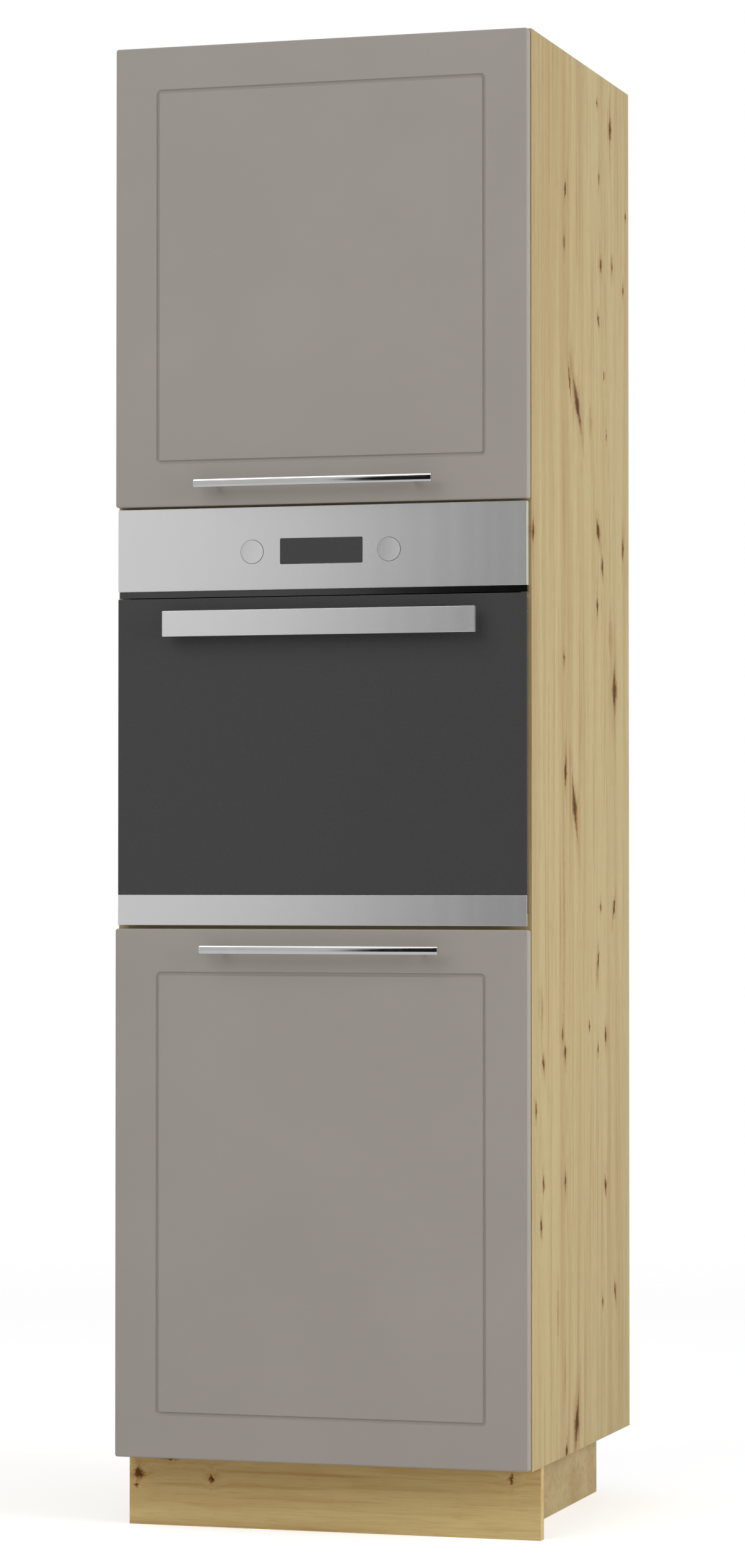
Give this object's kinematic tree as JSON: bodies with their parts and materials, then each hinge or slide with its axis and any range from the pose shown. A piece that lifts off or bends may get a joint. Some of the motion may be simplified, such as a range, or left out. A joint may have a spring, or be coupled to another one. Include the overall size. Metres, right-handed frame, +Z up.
{
  "type": "tall oven housing unit",
  "caption": "Tall kitchen cabinet with an upper and a lower hinged door round a built-in oven with a drop-down door, on a recessed plinth.",
  "frame": {"origin": "on the floor, in the middle of the outline in width and depth", "axes": "+Z up, -Y the way the doors and the oven face, +X to the right as seen from the front"},
  "size_m": [0.6, 0.614, 2.078],
  "materials": {
    "oak_board": "melamine-faced board with an oak print, satin",
    "white_sheet": "white lacquered hardboard sheet",
    "clay_front": "matt foil on fibreboard, clay grey",
    "chrome": "polished chrome plate",
    "nickel_steel": "nickel-plated steel",
    "zinc": "zinc-plated steel",
    "black_plastic": "moulded plastic, matt black",
    "galvanised": "galvanised sheet steel",
    "enamel": "glossy dark vitreous enamel",
    "glass_wool": "glass wool blanket",
    "seal": "woven and rubber door seal",
    "heater_steel": "heat-darkened steel",
    "lamp_glass": "clear pressed glass",
    "stainless": "brushed stainless steel, vertical sheen",
    "display": "smoked glass over a display",
    "circuit": "circuit board green",
    "dark_glass": "dark tinted oven glass"
  },
  "bodies": {
    "cabinet": {"side_panel_left": "oak_board", "side_panel_right": "oak_board", "top_panel": "oak_board", "bottom_panel": "oak_board", "oven_shelf": "oak_board", "divider_shelf": "oak_board", "back_sheets": "white_sheet", "adjustable_shelves": "oak_board", "shelf_pins": "nickel_steel", "cam_fittings": "zinc", "plinth_front": "oak_board", "plinth_sides": "oak_board", "plinth_clips": "black_plastic", "leg_sockets": "black_plastic", "wall_brackets": "zinc", "hinge_plates": "nickel_steel", "hinge_arms": "nickel_steel", "cabinet_screws": "zinc", "oven_casing": "galvanised", "oven_front_frame": "enamel", "oven_hinge_brackets": "galvanised", "oven_cavity": "enamel", "oven_insulation": "glass_wool", "door_gasket": "seal", "fan_baffle": "enamel", "fan_motor": "galvanised", "heating_elements": "heater_steel", "oven_lamp": "lamp_glass", "rack_guides": "chrome", "wire_shelf": "chrome", "baking_tray": "enamel", "control_panel": "stainless", "display_glass": "display", "control_electronics": "circuit", "vent_strip": "black_plastic", "cooling_fan_housing": "galvanised", "terminal_box": "black_plastic"},
    "foot_front_left": {"foot_front_left": "black_plastic"},
    "foot_front_right": {"foot_front_right": "black_plastic"},
    "foot_rear_left": {"foot_rear_left": "black_plastic"},
    "foot_rear_right": {"foot_rear_right": "black_plastic"},
    "upper_door": {"upper_door": "clay_front", "upper_handle": "chrome", "upper_hinge_cups": "nickel_steel", "upper_door_fasteners": "zinc"},
    "lower_door": {"lower_door": "clay_front", "lower_handle": "chrome", "lower_hinge_cups": "nickel_steel", "lower_door_fasteners": "zinc"},
    "oven_door": {"oven_door_frame": "enamel", "oven_door_glass": "dark_glass", "oven_door_trim": "stainless", "oven_door_handle": "stainless", "oven_handle_screws": "zinc"},
    "convection_fan": {"convection_fan": "heater_steel"},
    "cooling_fan": {"cooling_fan": "black_plastic"},
    "left_spindle": {"left_spindle": "stainless"},
    "right_spindle": {"right_spindle": "stainless"},
    "left_knob": {"left_knob": "stainless"},
    "right_knob": {"right_knob": "stainless"}
  },
  "joints": [
    {"name": "upper_door_hinge", "type": "hinge", "parent": "cabinet", "child": "upper_door", "pos_m": [-0.292, -0.272, 1.7533], "axis": [0, 0, -1], "range_deg": [0, 95]},
    {"name": "lower_door_hinge", "type": "hinge", "parent": "cabinet", "child": "lower_door", "pos_m": [-0.292, -0.272, 0.4709], "axis": [0, 0, -1], "range_deg": [0, 95]},
    {"name": "oven_door_hinge", "type": "hinge", "parent": "cabinet", "child": "oven_door", "pos_m": [0, -0.27, 0.851], "axis": [1, 0, 0], "range_deg": [0, 90]},
    {"name": "left_knob_turn", "type": "hinge", "parent": "cabinet", "child": "left_spindle", "pos_m": [-0.0987, -0.261, 1.3649], "axis": [0, 1, 0], "continuous": true},
    {"name": "left_knob_pop", "type": "slide", "parent": "left_spindle", "child": "left_knob", "axis": [0, -1, 0], "range_m": [0, 0.015]},
    {"name": "right_knob_turn", "type": "hinge", "parent": "cabinet", "child": "right_spindle", "pos_m": [0.1, -0.261, 1.3649], "axis": [0, 1, 0], "range_deg": [0, 270]},
    {"name": "right_knob_pop", "type": "slide", "parent": "right_spindle", "child": "right_knob", "axis": [0, -1, 0], "range_m": [0, 0.015]},
    {"name": "convection_fan_spin", "type": "hinge", "parent": "cabinet", "child": "convection_fan", "pos_m": [0, 0.159, 1.085], "axis": [0, 1, 0], "continuous": true},
    {"name": "cooling_fan_spin", "type": "hinge", "parent": "cabinet", "child": "cooling_fan", "pos_m": [0, 0.069, 1.3], "axis": [0, 0, 1], "continuous": true},
    {"name": "foot_front_left_screw", "type": "slide", "parent": "cabinet", "child": "foot_front_left", "axis": [0, 0, -1], "range_m": [0, 0.02]},
    {"name": "foot_front_right_screw", "type": "slide", "parent": "cabinet", "child": "foot_front_right", "axis": [0, 0, -1], "range_m": [0, 0.02]},
    {"name": "foot_rear_left_screw", "type": "slide", "parent": "cabinet", "child": "foot_rear_left", "axis": [0, 0, -1], "range_m": [0, 0.02]},
    {"name": "foot_rear_right_screw", "type": "slide", "parent": "cabinet", "child": "foot_rear_right", "axis": [0, 0, -1], "range_m": [0, 0.02]}
  ]
}
